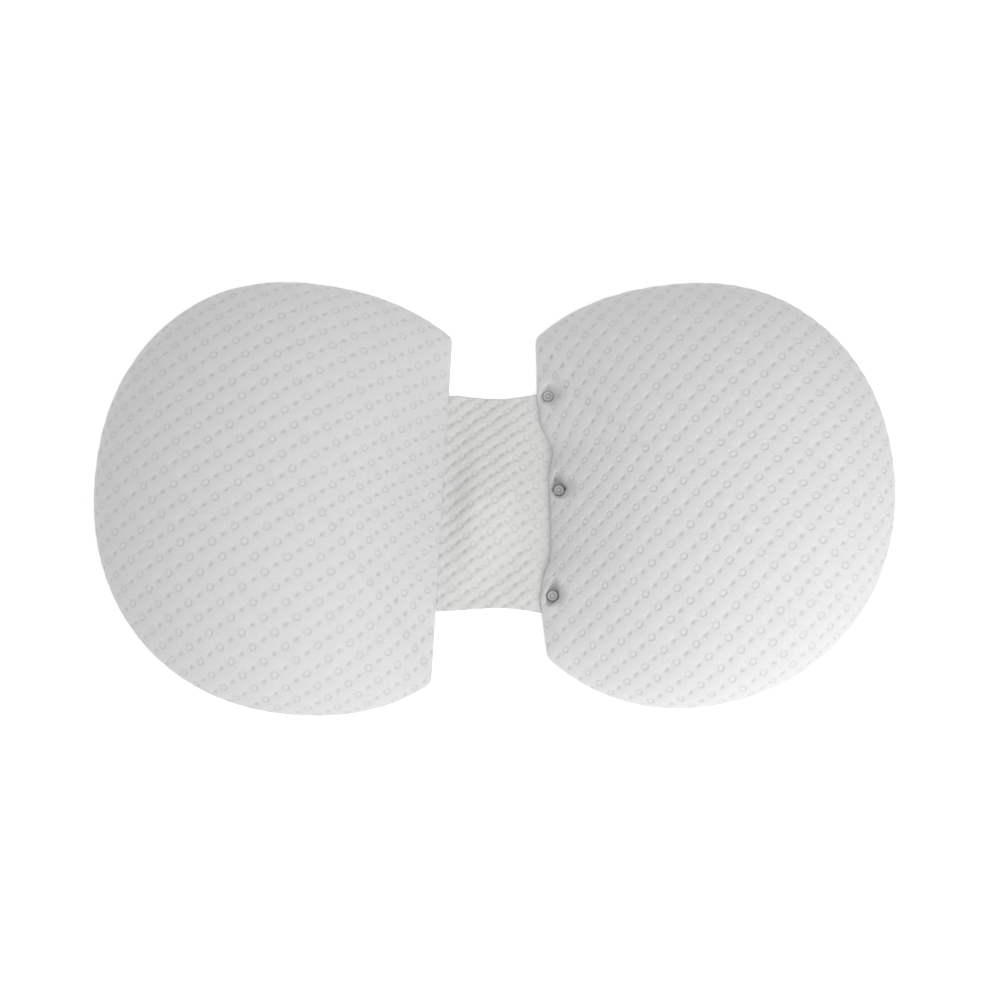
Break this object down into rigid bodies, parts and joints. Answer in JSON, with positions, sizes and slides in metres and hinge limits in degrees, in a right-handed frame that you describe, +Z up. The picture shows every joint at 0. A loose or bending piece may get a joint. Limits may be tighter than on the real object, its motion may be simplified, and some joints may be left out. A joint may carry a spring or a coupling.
{
  "type": "pregnancy wedge pillow",
  "caption": "Side-sleeping support pillow: thick D-shaped wedge cushions with thin inner edges, joined by a slack cloth strap that snaps under one cushion's hem.",
  "frame": {"origin": "on the surface the pillow lies on, midway between the outer ends of the cushions", "axes": "+X along the pillow from the left cushion to the right one, which has the snaps; +Z up out of the resting surface"},
  "size_m": [0.7222, 0.3987, 0.1208],
  "materials": {
    "cover": "white embossed knit in diagonal puffed ribs with small rings and dots, soft and matte",
    "snap": "satin grey moulded snap cap"
  },
  "bodies": {
    "root": {"left_cushion": "cover", "right_cushion": "cover", "strap": "cover", "snap_top": "snap", "snap_middle": "snap", "snap_bottom": "snap"}
  },
  "joints": []
}
